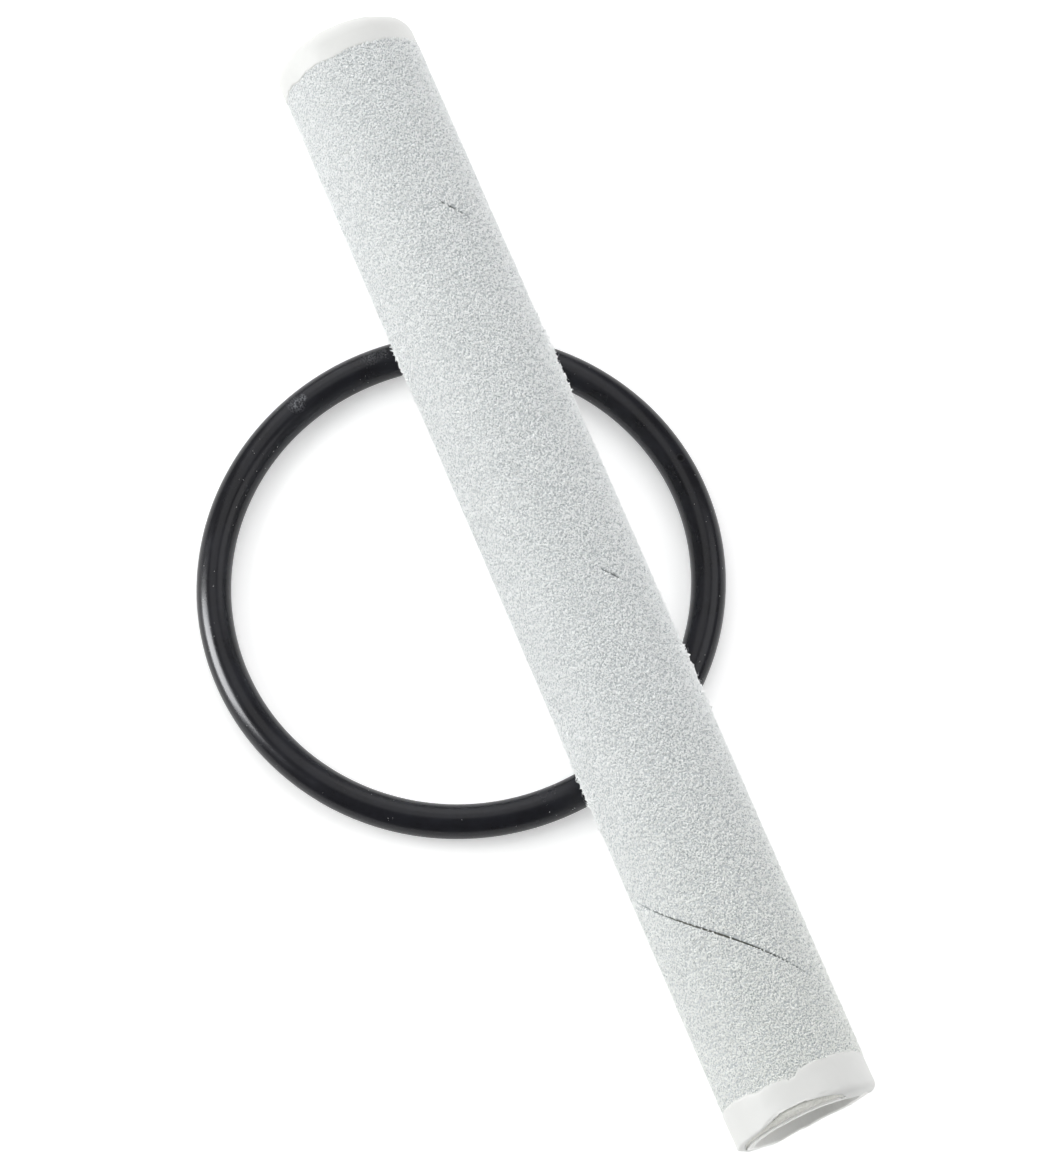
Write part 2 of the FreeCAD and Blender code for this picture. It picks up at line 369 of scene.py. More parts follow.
def mouldedRubber():
    look = rubberLook
    finish, tree, shader, place = startFinish("moulded nitrile rubber", look["roughness"], 1.52)
    shader.inputs["Specular IOR Level"].default_value = look["specular"]
    bloom = addNode(tree, "ShaderNodeTexNoise", values={
        "Scale": 1 / (look["bloomMm"] * mm), "Detail": 6.0, "Roughness": 0.65}, links={"Vector": place})
    spread = addNode(tree, "ShaderNodeMapRange", values={"From Min": 0.4, "From Max": 0.75},
                     links={"Value": bloom})
    grain = addNode(tree, "ShaderNodeTexNoise", values={
        "Scale": 1 / (look["grainMm"] * mm), "Detail": 2.0}, links={"Vector": place})
    colour = addNode(tree, "ShaderNodeMix", {"data_type": "RGBA"}, {
        6: toLinear(look["blackHex"]), 7: toLinear(look["dustyHex"])}, {0: spread})
    # each scuff fades out with distance, broken up by a coarse grain
    scratch = addNode(tree, "ShaderNodeTexNoise", values={
        "Scale": 1 / (look["scuffGrainMm"] * mm), "Detail": 4.0, "Roughness": 0.7}, links={"Vector": place})
    broken = addNode(tree, "ShaderNodeMapRange", values={"From Min": 0.46, "From Max": 0.66},
                     links={"Value": scratch})
    scuffed = None
    for centre, reach, strength in look["scuffsMm"]:
        near = nearness(tree, place, centre, reach, strength)
        if scuffed:
            near = addNode(tree, "ShaderNodeMath", {"operation": "MAXIMUM"}, {},
                           {0: scuffed, 1: near}).outputs["Value"]
        scuffed = near
    worn = addNode(tree, "ShaderNodeMath", {"operation": "MULTIPLY", "use_clamp": True}, {},
                   {0: scuffed, 1: broken}).outputs["Value"]
    rubbed = addNode(tree, "ShaderNodeMix", {"data_type": "RGBA"}, {7: toLinear(look["rubHex"])},
                     {0: worn, 6: colour.outputs[2]})
    # painted shade: a small near-black spot for the shade in a dent, which the ring's shape does not have;
    # the spot is also made rougher
    dent = nearness(tree, place, look["dentShadeMm"][0], look["dentShadeMm"][1], 1.5)
    dentShaded = addNode(tree, "ShaderNodeMix", {"data_type": "RGBA"}, {7: toLinear(look["dentShadeHex"])},
                     {0: dent, 6: rubbed.outputs[2]})
    gloss = addNode(tree, "ShaderNodeMapRange", values={
        "To Min": look["roughness"] + look["glossSpread"][0],
        "To Max": look["roughness"] + look["glossSpread"][1]},
        links={"Value": bloom})
    dull = addNode(tree, "ShaderNodeMath", {"operation": "ADD"}, {},
                   {0: gloss, 1: worn})
    flat = addNode(tree, "ShaderNodeMath", {"operation": "ADD", "use_clamp": True}, {},
                   {0: dull, 1: dent})
    tree.links.new(flat.outputs["Value"], shader.inputs["Roughness"])
    endFinish(tree, shader, look, dentShaded.outputs[2], grain)
    return finish


# Dust and lint: tiny pale flecks of the pile, matt.
lintLook = {"lightHex": "f0f0ee", "deepHex": "a9aaa8", "tintScale": 300.0, "roughness": 0.9}


def paleLint():
    look = lintLook
    finish, tree, shader, place = startFinish("pale lint", look["roughness"])
    tint = addNode(tree, "ShaderNodeTexNoise", values={"Scale": look["tintScale"]}, links={"Vector": place})
    colour = addNode(tree, "ShaderNodeMix", {"data_type": "RGBA"}, {
        6: toLinear(look["deepHex"]), 7: toLinear(look["lightHex"])}, {0: tint})
    tree.links.new(colour.outputs[2], shader.inputs["Base Color"])
    return finish


pile = nappedPile()
backing = knittedBacking()
coat = dippedCoat()
plyPlastic = drawnPolypropylene()
foam = cutFoam()
rubber = mouldedRubber()
lint = paleLint()
print("finishes are ready")


# The open end: how far the underside is cut short, and how much of the coat has torn off the rim.
openEnd = {
    "cutShortMm": [(-180, 3.0), (-145, 1.7), (-110, 0.9), (-80, 0.0), (-55, -0.15), (-20, -0.15), (15, 0.1),
                   (45, 0.3), (75, 1.0), (100, 2.4), (125, 2.9), (160, 3.4), (180, 3.0)],
    "coatLeft": [(-104, 1.0), (-84, 0.75), (-68, 0.45), (-50, 0.35), (-41, 0.3), (-33, 0.2), (-26, 0.12),
                 (-18, 0.07), (-3, 0.05), (4, 0.16), (11, 0.22), (20, 0.34), (28, 0.5), (33, 0.78), (38, 1.1),
                 (44, 1.3), (54, 1.2), (64, 1.0)],
    # how far the pile runs past the cover's end towards the rim, and back from it
    "borderMm": [(-90, 0.0), (-58, 0.1), (-45, 0.8), (-31, 1.6), (-20, 1.3), (-12, 1.7), (-6, 2.4),
                 (-2, 2.1), (4, 0.7), (10, 0.3), (17, 0.0), (34, -0.3), (60, -0.2), (90, 0.0)],
    # length of the rounded corner along the bar, and its depth
    "cornerMm": [(-180, 1.9), (-110, 1.5), (-90, 1.1), (-45, 1.1), (-36, 1.6), (-26, 2.2), (180, 2.3)],
    "cornerDropMm": 2.2, "coatMm": 0.5, "raggedMm": 0.16, "leastLeft": 0.03,
    # past the tube's edge the coat hangs down in front of it, and stands out a little
    "hangTo": 0.1, "hangOutMm": 2, "hangDown": 1.6,
    # grain of each ragged edge, as a share of the bar's radius, and its depth in mm
    "endRagged": (0.12, 0.1), "borderRagged": (0.04, 0.75), "rearBorderRagged": (0.07, 0.9),
}


def raggedBy(seed, angle, edge):
    grain, depth = openEnd[edge]
    return ragged(seed, angle, grain, depth * mm)


def frontEndAt(angle):
    short = between(openEnd["cutShortMm"], degreesFromTop(angle))
    return frontEnd - short * mm + raggedBy(5, angle, "endRagged")


def frontBorderAt(angle):
    # where the pile stops and the dipped band starts
    run = between(openEnd["borderMm"], degreesFromTop(angle))
    return coverHigh.x + run * mm + raggedBy(11, angle, "borderRagged")


def rearBorderAt(angle):
    return coverLow.x + raggedBy(21, angle, "rearBorderRagged")


# The cover strip: a left-hand helix whose butt seam gapes in places.
strip = {
    "pitchMm": 103.4, "seamTopMm": 2.7, "backingMm": 0.45, "overFoamMm": 0.03, "closedGapMm": 0.03,
    # each open stretch of seam: turn, angles it runs between in degrees, widest gap
    "openings": [(1, -74, 50, 0.62), (-1, 16, 40, 0.58), (0, 17, 34, 0.5)],
    "columns": 200, "rows": 34, "edgeMm": 0.3, "swellMm": 0.07,
    # how far it runs under the bands, and the gap past which no pile hides the seam
    "underMm": 0.3, "bareFromMm": 0.1, "edgeDropMm": 0.12, "shortestMm": 0.25,
    # how much and how finely an open stretch wavers in width, and how blunt its ends are
    "gapeWaver": 0.25, "gapeGrain": 60, "gapeRound": 0.6,
    # the crease that crosses the top near mid-length
    "creaseAtMm": -24.7, "creaseFrom": -48, "creaseTo": 11, "creaseMm": 0.25, "creaseWideMm": 0.45,
    "creaseSlant": 0.02,
}


def seamGapAt(turns):
    turn = math.floor(turns + 0.5)
    angle = (turns - turn) * 360
    gap = strip["closedGapMm"]
    for number, start, end, widest in strip["openings"]:
        if number == turn and start < angle < end:
            share = (angle - start) / (end - start)
            gape = widest * math.sin(math.pi * share) ** strip["gapeRound"]
            waver = noise.noise(Vector((turns * strip["gapeGrain"], number, 0.5)))
            gap = max(gap, gape * (1 + strip["gapeWaver"] * waver))
    return gap * mm


def windStrip(name, inner, outer, startAt, endAt, gapAt, pitch, seamTop, columns, rows, edge, finish,
              liftAt=None):
    # a strip wound in a left-hand helix between two ends, as one closed solid
    first = math.floor(((startAt(0) - pitch - seamTop) / pitch) * columns) - columns // 8
    last = math.ceil(((endAt(0) - seamTop) / pitch) * columns) + columns // 8
    verts, faces, heights, rings = [], [], [], []
    # the attribute "stand" is where pile may grow: all but the edges of an open stretch of seam
    for step in range(first, last + 1):
        turns = step / columns
        angle = turns * fullTurn
        lower = seamTop + pitch * turns
        gaps = (gapAt(turns), gapAt(turns + 1))
        low = max(lower + gaps[0] / 2, startAt(angle))
        high = min(lower + pitch - gaps[1] / 2, endAt(angle))
        if high - low < strip["shortestMm"] * mm:
            if rings:
                break
            continue
        atBands = (low == startAt(angle), high == endAt(angle))
        margin = min(edge, 0.3 * (high - low))
        alongs = [low] + [low + margin + (high - low - 2 * margin) * n / (rows - 3) for n in range(rows - 2)]
        alongs.append(high)
        ring = []
        for number, along in enumerate(alongs):
            atEdge = (number == 0 and not atBands[0]) or (number == rows - 1 and not atBands[1])
            lift = liftAt(along, angle) if liftAt else 0
            ring.append(len(verts))
            dropped = strip["edgeDropMm"] * mm if atEdge and liftAt else 0
            verts.append(onBar(along, outer + lift - dropped, angle))
            gaping = gaps[0 if number == 0 else 1] > strip["bareFromMm"] * mm
            heights.append(0.0 if atEdge and gaping else 1.0)
        for along in reversed(alongs):
            ring.append(len(verts))
            verts.append(onBar(along, inner, angle))
            heights.append(0.0)
        rings.append(ring)
    count = 2 * rows
    for left, right in zip(rings, rings[1:]):
        for n in range(count):
            after = (n + 1) % count
            faces.append((left[n], right[n], right[after], left[after]))
    for ring in (rings[0], rings[-1]):
        for n in range(rows - 1):
            faces.append((ring[n], ring[n + 1], ring[count - 2 - n], ring[count - 1 - n]))
    piece = makePiece(name, verts, faces, finish)
    stand = piece.data.attributes.new("stand", "FLOAT", "POINT")
    stand.data.foreach_set("value", heights)
    return piece


def coverLift(along, angle):
    place = onBar(along, barRadius, angle)
    lift = strip["swellMm"] * mm * wobble(31, place, 9 * mm)
    degrees = degreesFromTop(angle)
    if strip["creaseFrom"] < degrees < strip["creaseTo"]:
        away = (along / mm - strip["creaseAtMm"] - strip["creaseSlant"] * degrees) / strip["creaseWideMm"]
        lift -= strip["creaseMm"] * mm * math.exp(-away * away)
    return lift


def coverStrip():
    sizes = strip
    under = sizes["underMm"] * mm
    piece = windStrip(
        "coverStrip", foamRadius + sizes["overFoamMm"] * mm, foamRadius + sizes["backingMm"] * mm,
        lambda angle: rearBorderAt(angle) - under, lambda angle: frontBorderAt(angle) + under, seamGapAt,
        sizes["pitchMm"] * mm, sizes["seamTopMm"] * mm, sizes["columns"], sizes["rows"],
        sizes["edgeMm"] * mm, backing, coverLift)
    return fitToFrame(piece, "bar", "nap_fabric", "cover_strip")


# The pile: crimped crumbs of fibre, thick enough to hide the backing but for dark specks between them.
pileSizes = {
    "crumbMm": (0.74, 0.5, 0.42), "perSquareMm": 6.3, "smallest": (0.4, 0.5, 0.4),
    "largest": (1.3, 1.35, 1.35), "leanDegrees": 28.0, "slices": 8, "seed": 7,
    "palest": (0.1, 0.35),  # from the least to the most that a crumb's own tone lightens it
    # on one side the pile is pressed flatter, from one distance off the axis to another
    "pressed": 0.4, "pressedFromMm": -14.0, "pressedToMm": -3.0,
}


def pileCrumb():
    # one curl of pile as a bent bead of a few faces, lying along X with its root at Z = 0
    long, wide, tall = (value * mm for value in pileSizes["crumbMm"])
    verts = [Vector((-long / 2, -0.15 * wide, 0.05 * mm))]
    for corner in range(3):
        turn = fullTurn * (corner / 3 + 0.25)
        verts.append(Vector((-0.05 * long, 0.12 * wide + wide * 0.55 * math.cos(turn),
                             tall * 0.4 + tall * 0.6 * math.sin(turn))))
    verts.append(Vector((long / 2, -0.2 * wide, 0.12 * mm)))
    faces = []
    for corner in range(3):
        after = (corner + 1) % 3
        faces.append((0, 1 + after, 1 + corner))
        faces.append((4, 1 + corner, 1 + after))
    return makePiece("pileCrumb", verts, faces, pile, smooth=False)


def pileTree():
    tree, given = startTree("pile on a wound strip", {
        "Crumb": "Object", "Density": "Float", "From": "Float", "To": "Float", "Below": "Float",
        "Skew": "Float", "Fade": "Float", "Smallest": "Vector", "Largest": "Vector", "Lean": "Float",
        "Seed": "Int", "Finish": "Material"})
    stand = addNode(tree, "GeometryNodeInputNamedAttribute", {"data_type": "FLOAT"}, {"Name": "stand"})
    density = addNode(tree, "ShaderNodeMath", {"operation": "MULTIPLY"},
                      links={0: stand, 1: given["Density"]})
    roots = addNode(tree, "GeometryNodeDistributePointsOnFaces", links={
        "Mesh": given["Geometry"], "Density": density, "Seed": given["Seed"]})
    place = addNode(tree, "GeometryNodeInputPosition")
    # a patch thins out over the fade's length, because each root is judged from a place a little off its own
    off = addNode(tree, "FunctionNodeRandomValue", {"data_type": "FLOAT_VECTOR"},
                  {0: (-1, -1, -1), 1: (1, 1, 1), "Seed": 2})
    judged = addNode(tree, "ShaderNodeVectorMath", {"operation": "MULTIPLY_ADD"}, {}, {
        0: off.outputs[0], 1: given["Fade"], 2: place})
    along = addNode(tree, "ShaderNodeSeparateXYZ", links={0: judged})
    aside = addNode(tree, "ShaderNodeMath", {"operation": "SUBTRACT"}, {0: axisY}, {1: along.outputs["Y"]})
    skewed = addNode(tree, "ShaderNodeMath", {"operation": "MULTIPLY_ADD"}, links={
        0: aside, 1: given["Skew"], 2: along.outputs["X"]})
    outside = None
    for side, value, limit in (("LESS_THAN", skewed, "From"), ("GREATER_THAN", skewed, "To"),
                               ("GREATER_THAN", along.outputs["Z"], "Below")):
        past = addNode(tree, "ShaderNodeMath", {"operation": side}, links={0: value, 1: given[limit]})
        outside = past if outside is None else addNode(
            tree, "ShaderNodeMath", {"operation": "ADD"}, links={0: outside, 1: past})
    kept = addNode(tree, "GeometryNodeDeleteGeometry", {"domain": "POINT"}, links={
        "Geometry": roots, "Selection": outside})
    lean = addNode(tree, "ShaderNodeMath", {"operation": "MULTIPLY"}, {1: -1.0}, {0: given["Lean"]})
    most = addNode(tree, "ShaderNodeCombineXYZ", {}, {"Z": fullTurn},
                   {"X": given["Lean"], "Y": given["Lean"]})
    least = addNode(tree, "ShaderNodeCombineXYZ", {}, {"Z": 0.0},
                    {"X": lean, "Y": lean})
    turn = addNode(tree, "FunctionNodeRandomValue", {"data_type": "FLOAT_VECTOR"}, {},
                   {0: least, 1: most, "Seed": given["Seed"]})
    size = addNode(tree, "FunctionNodeRandomValue", {"data_type": "FLOAT_VECTOR"}, {},
                   {0: given["Smallest"], 1: given["Largest"], "Seed": given["Seed"]})
    pressed = addNode(tree, "ShaderNodeMapRange", values={
        "From Min": axisY + pileSizes["pressedFromMm"] * mm,
        "From Max": axisY + pileSizes["pressedToMm"] * mm,
        "To Min": pileSizes["pressed"], "To Max": 1.0}, links={"Value": along.outputs["Y"]})
    flatter = addNode(tree, "ShaderNodeCombineXYZ", {}, {"X": 1.0, "Y": 1.0},
                      {"Z": pressed})
    pressedSize = addNode(tree, "ShaderNodeVectorMath", {"operation": "MULTIPLY"}, {},
                          {0: size.outputs[0], 1: flatter})
    crumb = addNode(tree, "GeometryNodeObjectInfo", links={"Object": given["Crumb"]})
    placed = putOnPoints(tree, kept, roots, turn, crumb.outputs["Geometry"], pressedSize)
    shade = addNode(tree, "FunctionNodeRandomValue", {"data_type": "FLOAT"}, {
        2: pileSizes["palest"][0], 3: pileSizes["palest"][1], "Seed": 3})
    toned = addNode(tree, "GeometryNodeStoreNamedAttribute", {"data_type": "FLOAT", "domain": "INSTANCE"},
                    {"Name": "tone"}, {"Geometry": placed, "Value": shade.outputs[1]})
    endTree(tree, given, toned, smooth=False)
    return tree


def growPile(name, tree, cover, fibre, sizes, start, stop, below=1.0, skew=0.0, fade=0.0):
    # one piece of pile on the cover, between two places along the bar
    piece = runTree(name, tree, cover.data, {
        "Crumb": fibre, "Density": sizes["perSquareMm"] / mm ** 2, "From": start, "To": stop,
        "Below": below, "Skew": skew, "Fade": fade, "Smallest": sizes["smallest"],
        "Largest": sizes["largest"], "Lean": math.radians(sizes["leanDegrees"]), "Seed": sizes["seed"],
        "Finish": pile})
    return fitToFrame(piece, "bar", "nap_fabric")


# the pile may stand this far past the cover's rear and front ends
pileStart, pileStop = coverLow.x - 2 * mm, coverHigh.x + 4 * mm


def coverPile(cover):
    sizes = pileSizes
    crumb, tree = pileCrumb(), pileTree()
    span = (pileStop - pileStart) / sizes["slices"]
    slices = []
    for number in range(sizes["slices"]):
        slices.append(growPile(f"coverPile{number + 1}", tree, cover, crumb, sizes,
                               pileStart + span * number, pileStart + span * (number + 1)))
    bpy.data.objects.remove(crumb)
    return slices


# Loose fibres: fine hairs that have worked out of the pile and stand a little off it.
hairSizes = {"longMm": 1.7, "thickMm": 0.07, "archMm": 0.3, "perSquareMm": 0.16, "smallest": (0.5, 0.8, 0.6),
             "largest": (1.3, 1.2, 1.5), "leanDegrees": 50.0, "seed": 19,
             "steps": 3, "taper": 0.6, "bendMm": 0.25, "bendTurn": 3, "rootMm": 0.15}


def looseFibre():
    # a thin three-sided hair, arched along X from its root at X = 0
    sizes = hairSizes
    verts, faces, steps = [], [], sizes["steps"]
    for step in range(steps + 1):
        share = step / steps
        for corner in range(3):
            turn = fullTurn * corner / 3
            thick = sizes["thickMm"] / 2 * (1 - sizes["taper"] * share)
            bend = sizes["bendMm"] * math.sin(sizes["bendTurn"] * share)
            arch = sizes["rootMm"] + sizes["archMm"] * math.sin(math.pi * share)
            verts.append((sizes["longMm"] * share * mm, (bend + thick * math.cos(turn)) * mm,
                          (arch + thick * math.sin(turn)) * mm))
    for step in range(steps):
        for corner in range(3):
            after = (corner + 1) % 3
            low, high = 3 * step, 3 * step + 3
            faces.append((low + corner, low + after, high + after, high + corner))
    faces += [(0, 2, 1), (3 * steps, 3 * steps + 1, 3 * steps + 2)]
    return makePiece("looseFibre", verts, faces, pile)


# Where the ring has rubbed, the crumbs are ruffled up and stand off the edge of the bar.
ruffleSizes = {"perSquareMm": 0.75, "smallest": (1.8, 0.8, 1.6), "largest": (3.4, 1.4, 3.0),
               "belowMm": 3.0, "fadeMm": 7.0, "leanDegrees": 60.0, "seed": 23,
               # each crossing of the ring: where it starts and stops along the bar, and its slant across it
               "crossings": [(-67, -53, 0.42), (35, 50, -0.53)]}


def ruffledPile(cover):
    sizes = ruffleSizes
    crumb, tree = pileCrumb(), pileTree()
    patches = []
    for number, (start, stop, skew) in enumerate(sizes["crossings"]):
        patches.append(growPile(f"ruffledPile{number + 1}", tree, cover, crumb, sizes, start * mm, stop * mm,
                                axisZ + sizes["belowMm"] * mm, skew, sizes["fadeMm"] * mm))
    bpy.data.objects.remove(crumb)
    return patches


def looseFibres(cover):
    hair = looseFibre()
    piece = growPile("looseFibres", pileTree(), cover, hair, hairSizes, pileStart, pileStop)
    bpy.data.objects.remove(hair)
    return piece


def turnLoop(name, profileAt, columns, finish):
    # a closed outline carried round the bar, which may change from angle to angle
    verts, faces = [], []
    count = 0
    for column in range(columns):
        angle = fullTurn * column / columns
        outline = profileAt(angle)
        count = len(outline)
        verts += [onBar(along, radius, angle) for along, radius in outline]
    for column in range(columns):
        left, right = column * count, (column + 1) % columns * count
        for n in range(count):
            after = (n + 1) % count
            faces.append((left + n, right + n, right + after, left + after))
    return makePiece(name, verts, faces, finish)


# The dipped bands: a sleeve level with the pile that rolls over the rim of the wall.
bands = {"columns": 288, "sleeveSteps": 14, "cornerSteps": 12, "standMm": 0.72, "featherMm": 0.16,
         # how high the swellings stand, the lengths of the slow and the quick ones, and the quick ones' share
         "swellMm": 0.09, "slowMm": 5, "quickMm": 1.6, "quickShare": 0.4,
         "rearCornerMm": 4.1, "rearDropMm": 3.6, "lipMm": 2.0,
         # the swellings on the rolled corner: their length, and their height against the sleeve's
         "rollMm": 2.5, "rollShare": 0.5}
bandRadius = foamRadius + bands["standMm"] * mm


def cornerAt(angle):
    return between(openEnd["cornerMm"], degreesFromTop(angle)) * mm


def cornerPoint(end, share, outer, angle):
    # a point on the rounded corner of the open end, from the sleeve at 0 to the tube's edge at 1
    turn = min(share, 1) * math.pi / 2
    corner, drop = cornerAt(angle), openEnd["cornerDropMm"] * mm
    over = max(0, share - 1)
    out = min(over, openEnd["hangTo"]) * openEnd["hangOutMm"] * mm
    return (end - corner + corner * math.sin(turn) + out,
            outer - drop + drop * math.cos(turn) - over * drop * openEnd["hangDown"])


def sleeveLine(border, stop, seed, angle):
    # the outer line of a band from the pile to its corner, tapered where it meets the pile
    line = []
    for step in range(bands["sleeveSteps"] + 1):
        along = border + (stop - border) * step / bands["sleeveSteps"]
        place = onBar(along, barRadius, angle)
        swell = bands["swellMm"] * mm * (
            wobble(seed, place, bands["slowMm"] * mm)
            + bands["quickShare"] * wobble(seed + 1, place, bands["quickMm"] * mm))
        line.append((along, bandRadius + swell - bands["featherMm"] * mm * max(0, 1 - step / 2) ** 2))
    return line


def frontCoatOutline(angle):
    end = frontEndAt(angle)
    border = frontBorderAt(angle)
    left = between(openEnd["coatLeft"], degreesFromTop(angle))
    torn = max(0, 1 - left)
    left = max(openEnd["leastLeft"], left + torn * ragged(41, angle, 0.03, openEnd["raggedMm"]))
    thick = openEnd["coatMm"] * mm
    outside = sleeveLine(border, end - cornerAt(angle), 51, angle)
    for step in range(1, bands["cornerSteps"] + 1):
        share = left * step / bands["cornerSteps"]
        along, radius = cornerPoint(end, share, bandRadius, angle)
        place = onBar(along, radius, angle)
        swell = bands["rollShare"] * bands["swellMm"] * mm * wobble(53, place, bands["rollMm"] * mm)
        outside.append((along, radius + swell))
    inside = []
    for along, radius in reversed(outside):
        inside.append((along - 0.12 * mm if along > end - cornerAt(angle) else along,
                       min(radius - thick, foamRadius + clear)))
    return outside + inside


def rearCoatOutline(angle):
    end = rearEnd + ragged(61, angle, 0.3, 0.5 * mm)
    border = rearBorderAt(angle)
    corner, drop = bands["rearCornerMm"] * mm, bands["rearDropMm"] * mm
    outside = sleeveLine(border, end + corner, 71, angle)
    for step in range(1, bands["cornerSteps"] + 1):
        turn = math.pi / 2 * step / bands["cornerSteps"]
        along, radius = end + corner - corner * math.sin(turn), bandRadius - drop + drop * math.cos(turn)
        place = onBar(along, radius, angle)
        outside.append((along + 0.1 * mm * wobble(73, place, bands["rollMm"] * mm), radius))
    lip = rearBandLow.x + bands["lipMm"] * mm
    return outside + [(end + 0.35 * mm, boreRadius), (lip, boreRadius), (lip, foamRadius - 0.1 * mm),
                      (border, foamRadius + clear)]


def endBands():
    front = turnLoop("endBandFront", frontCoatOutline, bands["columns"], coat)
    rear = turnLoop("endBandRear", rearCoatOutline, bands["columns"], coat)
    fitToFrame(front, "bar", "dip_white", "end_band_front")
    fitToFrame(rear, "bar", "dip_white", "end_band_rear")


# The foam sleeve: it ends under the coat in the same round corner, with the cut face bare where it tore.
sleeve = {"columns": 240, "faceSteps": 14, "pitMm": 0.14, "bareMm": 0.03,
          # how far the cut face stands behind the coat and under it, against the coat's thickness
          "faceBehind": 0.9, "faceUnder": 1.25}


def foamOutline(angle):
    end = frontEndAt(angle)
    outer = foamRadius - clear
    outline = [(foamLow.x, tubeRadius + clear / 2), (foamLow.x, outer)]
    for step in range(9):
        start, stop = foamLow.x + 1 * mm, end - cornerAt(angle) - 0.4 * mm
        outline.append((start + (stop - start) * step / 8, outer))
    thick = openEnd["coatMm"] * mm
    for step in range(sleeve["faceSteps"] + 1):
        share = step / sleeve["faceSteps"]
        along, radius = cornerPoint(end, share, bandRadius, angle)
        pit = sleeve["pitMm"] * mm * (wobble(81, onBar(along, radius, angle), 0.7 * mm)
                                      + wobble(82, onBar(along, radius, angle), 0.3 * mm))
        turn = share * math.pi / 2
        along -= (thick * sleeve["faceBehind"] - pit) * math.sin(turn)
        radius -= thick * sleeve["faceUnder"] * math.cos(turn) - pit * math.cos(turn)
        outline.append((along, max(min(radius, outer), tubeRadius + sleeve["bareMm"] * mm)))
    outline.append((end - 1.2 * mm, tubeRadius + clear / 2))
    return outline


def foamSleeve():
    piece = turnLoop("foamSleeve", foamOutline, sleeve["columns"], foam)
    fitToFrame(piece, "bar", "foam_grey", "foam_sleeve")
    return piece


# The tube: two plies wound the same way, with their seams set apart.
plies = {"seamStepMm": 34.0, "gapMm": 0.2, "columns": 120, "rows": 12, "edgeMm": 0.4}


def woundPlies():
    for name, node, inner, outer, step in (
            ("coreInnerPly", "core_inner_ply", boreRadius, plyJoinRadius - clear / 2, -1),
            ("coreOuterPly", "core_outer_ply", plyJoinRadius, tubeRadius - clear / 2, 1)):
        seamTop = (strip["seamTopMm"] + step * plies["seamStepMm"]) * mm
        piece = windStrip(name, inner, outer, lambda angle: innerPlyLow.x, frontEndAt,
                          lambda turns: plies["gapMm"] * mm, strip["pitchMm"] * mm, seamTop,
                          plies["columns"], plies["rows"], plies["edgeMm"] * mm, plyPlastic)
        fitToFrame(piece, "bar", "ply_plastic", node)


# The rubber ring: a round cord moulded as one loop, with the mould's fine flash line at its waist.
ringSizes = {"around": 360, "aboutCord": 56, "flashMm": 0.05, "flashWideMm": 0.35, "waverMm": 0.05,
             "waverScale": 60.0, "seed": 5}


def ringTree():
    tree, given = startTree("moulded ring", {
        "Ring radius": "Float", "Cord radius": "Float", "Centre": "Vector", "Flash": "Float",
        "Flash width": "Float", "Waver": "Float", "Seed": "Float", "Finish": "Material"})
    loop = addNode(tree, "GeometryNodeCurvePrimitiveCircle", {"mode": "RADIUS"},
                   {"Resolution": ringSizes["around"]}, {"Radius": given["Ring radius"]})
    cord = addNode(tree, "GeometryNodeCurvePrimitiveCircle", {"mode": "RADIUS"},
                   {"Resolution": ringSizes["aboutCord"]}, {"Radius": given["Cord radius"]})
    swept = addNode(tree, "GeometryNodeCurveToMesh", links={
        "Curve": loop, "Profile Curve": cord})
    place = addNode(tree, "GeometryNodeInputPosition")
    parts = addNode(tree, "ShaderNodeSeparateXYZ", links={0: place})
    height = addNode(tree, "ShaderNodeMath", {"operation": "ABSOLUTE"}, links={0: parts.outputs["Z"]})
    near = addNode(tree, "ShaderNodeMapRange", {"interpolation_type": "SMOOTHSTEP"}, {
        "From Min": 0.0, "To Min": 1.0, "To Max": 0.0},
        {"Value": height, "From Max": given["Flash width"]})
    raised = addNode(tree, "ShaderNodeMath", {"operation": "MULTIPLY"},
                     links={0: near, 1: given["Flash"]})
    rough = addNode(tree, "ShaderNodeTexNoise", {"noise_dimensions": "4D"}, {
        "Scale": ringSizes["waverScale"], "Detail": 1.0},
                    {"Vector": place, "W": given["Seed"]})
    waver = addNode(tree, "ShaderNodeMath", {"operation": "MULTIPLY_ADD"}, {},
                    {0: rough, 1: given["Waver"], 2: raised})
    normal = addNode(tree, "GeometryNodeInputNormal")
    offset = addNode(tree, "ShaderNodeVectorMath", {"operation": "SCALE"}, {},
                     {0: normal, "Scale": waver})
    shaped = addNode(tree, "GeometryNodeSetPosition", links={
        "Geometry": swept, "Offset": offset})
    moved = addNode(tree, "GeometryNodeTransform", links={
        "Geometry": shaped, "Translation": given["Centre"]})
    endTree(tree, given, moved)
    return tree


def rubberRing():
    low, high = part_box("rubber_ring")
    sizes = ringSizes
    cordRadius = (high.z - low.z) / 2
    ring = runTree("rubberRing", ringTree(), bpy.data.meshes.new("ringBase"), {
        "Ring radius": (high.y - low.y) / 2 - cordRadius, "Cord radius": cordRadius - sizes["waverMm"] * mm,
        "Centre": tuple((low + high) / 2), "Flash": sizes["flashMm"] * mm,
        "Flash width": sizes["flashWideMm"] * mm, "Waver": sizes["waverMm"] * mm,
        "Seed": float(sizes["seed"]), "Finish": rubber})
    return fitToFrame(ring, "ring", "rubber_black", "rubber_ring")


# Lint on the ring: flecks of pile that the rubber has picked up.
lintSizes = {"perSquareMm": 0.03, "fleckMm": 0.3, "shape": (1.0, 0.5, 0.25), "lean": 0.2,
             "smallest": 0.3, "largest": 1.1, "seed": 11}


